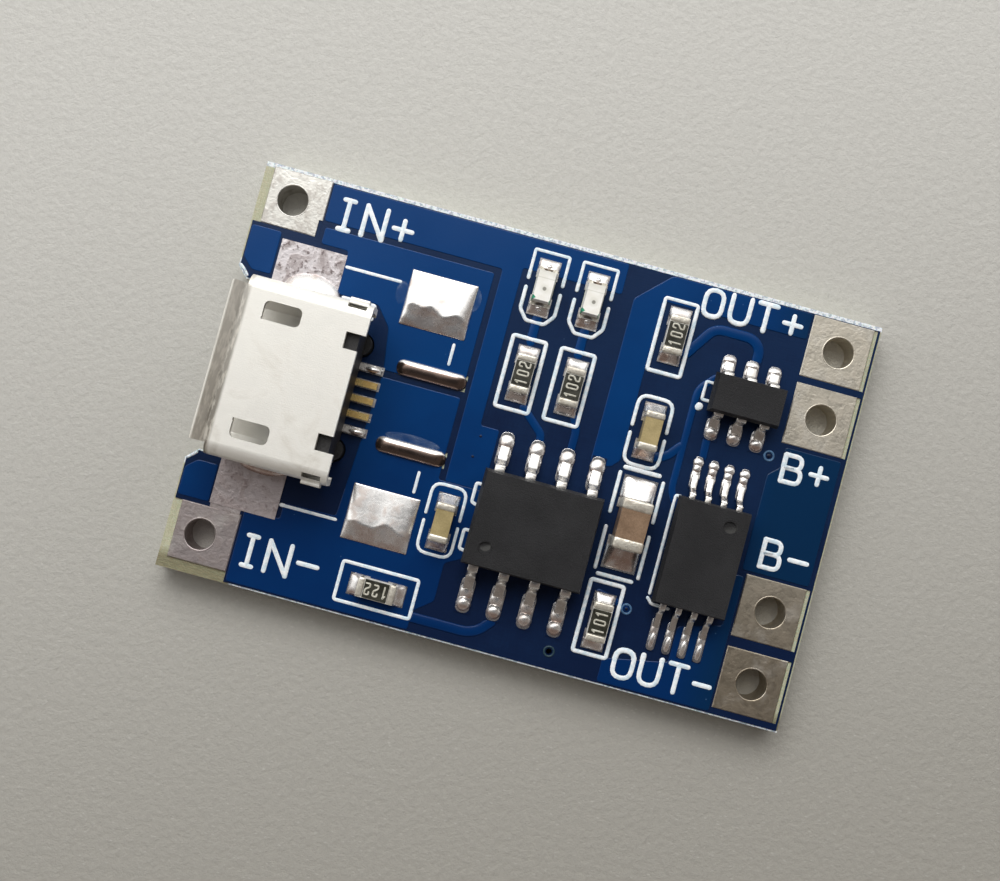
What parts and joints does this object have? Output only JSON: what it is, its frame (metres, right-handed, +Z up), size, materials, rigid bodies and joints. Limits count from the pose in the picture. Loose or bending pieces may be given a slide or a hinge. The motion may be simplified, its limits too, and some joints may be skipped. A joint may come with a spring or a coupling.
{
  "type": "lithium battery charger module",
  "caption": "Small rectangular charger board with a micro-USB socket at one end, moulded chips in the middle and plated wire holes at the corners.",
  "frame": {"origin": "centre of the board's outline, on the plane of the underside's tinned lands that it rests on", "axes": "+X from the socket's end to the battery terminals' end, +Y from the minus terminals to the plus terminals, +Z up out of the side with the parts"},
  "size_m": [0.026, 0.017, 0.0042],
  "materials": {
    "laminate": "glass-fibre laminate, rough sawn edge",
    "solder_mask": "glossy blue lacquer",
    "tinned_copper": "tinned, slightly dull",
    "solder": "bright solder",
    "shell_nickel": "satin nickel plate",
    "insulator": "black moulding",
    "contact_gold": "thin gold plate",
    "chip_moulding": "fine matt moulding",
    "lead_tin": "tin plate",
    "light_lens": "cream resin, translucent",
    "light_carrier": "white laminate",
    "end_tin": "dull tin plate",
    "resistor_coat": "dark glaze",
    "bulk_ceramic": "brown fired ceramic",
    "capacitor_ceramic": "tan fired ceramic",
    "resistor_ceramic": "white alumina"
  },
  "bodies": {
    "root": {"battery_minus_terminal": "tinned_copper", "battery_plus_terminal": "tinned_copper", "bulk_capacitor_body": "bulk_ceramic", "bulk_capacitor_ends": "end_tin", "capacitor_solder": "solder", "charger_chip_body": "chip_moulding", "charger_chip_leads": "lead_tin", "charger_chip_solder": "solder", "charging_light_carrier": "light_carrier", "charging_light_ends": "end_tin", "charging_light_lens": "light_lens", "charging_light_resistor_body": "resistor_ceramic", "charging_light_resistor_coat": "resistor_coat", "charging_light_resistor_ends": "end_tin", "chip_lands": "tinned_copper", "chip_part_lands": "tinned_copper", "full_light_carrier": "light_carrier", "full_light_ends": "end_tin", "full_light_lens": "light_lens", "full_light_resistor_body": "resistor_ceramic", "full_light_resistor_coat": "resistor_coat", "full_light_resistor_ends": "end_tin", "input_capacitor_body": "capacitor_ceramic", "input_capacitor_ends": "end_tin", "input_minus_terminal": "tinned_copper", "input_plus_terminal": "tinned_copper", "light_solder": "solder", "output_minus_terminal": "tinned_copper", "output_plus_terminal": "tinned_copper", "printed_board_laminate": "laminate", "programming_resistor_body": "resistor_ceramic", "programming_resistor_coat": "resistor_coat", "programming_resistor_ends": "end_tin", "protection_chip_body": "chip_moulding", "protection_chip_leads": "lead_tin", "protection_chip_solder": "solder", "resistor_solder": "solder", "sense_resistor_body": "resistor_ceramic", "sense_resistor_coat": "resistor_coat", "sense_resistor_ends": "end_tin", "socket_contacts": "contact_gold", "socket_insulator": "insulator", "socket_shell": "shell_nickel", "socket_side_lands": "tinned_copper", "socket_solder": "solder", "socket_tail_lands": "tinned_copper", "solder_mask_bottom": "solder_mask", "solder_mask_top": "solder_mask", "solder_strips": "solder", "spare_lands": "solder", "supply_capacitor_body": "capacitor_ceramic", "supply_capacitor_ends": "end_tin", "supply_resistor_body": "resistor_ceramic", "supply_resistor_coat": "resistor_coat", "supply_resistor_ends": "end_tin", "switch_chip_body": "chip_moulding", "switch_chip_leads": "lead_tin", "switch_chip_solder": "solder", "via_barrels": "tinned_copper"}
  },
  "joints": []
}
